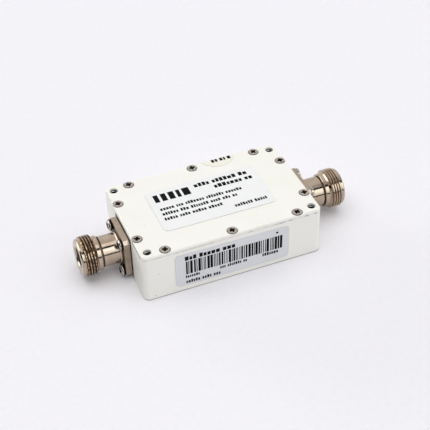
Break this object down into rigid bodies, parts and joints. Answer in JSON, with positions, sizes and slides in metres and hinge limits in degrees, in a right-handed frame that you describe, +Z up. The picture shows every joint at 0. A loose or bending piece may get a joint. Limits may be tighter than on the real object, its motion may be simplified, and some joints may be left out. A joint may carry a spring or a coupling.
{
  "type": "rf bandpass filter",
  "caption": "Small white-painted milled box with a screwed-on cover, mounting holes in its corners and a flanged coaxial jack on each end wall, for passing one band of radio signals.",
  "frame": {"origin": "middle of the box's underside, midway between the jacks", "axes": "+X along the box towards the output jack, +Y towards the rear wall, +Z up through the cover"},
  "size_m": [0.1106, 0.0462, 0.0215],
  "materials": {
    "white_paint": "satin",
    "nickel_plated_brass": "polished",
    "bright_steel": "polished",
    "plain_steel": "satin",
    "gold_plated_bronze": "satin",
    "white_ptfe": "satin",
    "glass_epoxy_board": "satin",
    "copper_wire": "satin",
    "chip_ceramic": "satin",
    "solder": "satin",
    "white_film": "satin",
    "grey_film": "satin",
    "seal_film": "satin"
  },
  "bodies": {
    "root": {"housing": "white_paint", "cover": "white_paint", "cover_screws": "plain_steel", "input_jack_shell": "nickel_plated_brass", "input_insulator": "white_ptfe", "input_retaining_bush": "nickel_plated_brass", "input_contact": "gold_plated_bronze", "input_flange_screws": "bright_steel", "output_jack_shell": "nickel_plated_brass", "output_insulator": "white_ptfe", "output_retaining_bush": "nickel_plated_brass", "output_contact": "gold_plated_bronze", "output_flange_screws": "bright_steel", "circuit_board": "glass_epoxy_board", "board_screws": "plain_steel", "solder_joints": "solder", "resonator_coils": "copper_wire", "resonator_capacitors": "chip_ceramic", "coupling_capacitors": "chip_ceramic", "rating_label": "white_film", "serial_label": "grey_film", "seal_label": "seal_film"}
  },
  "joints": []
}
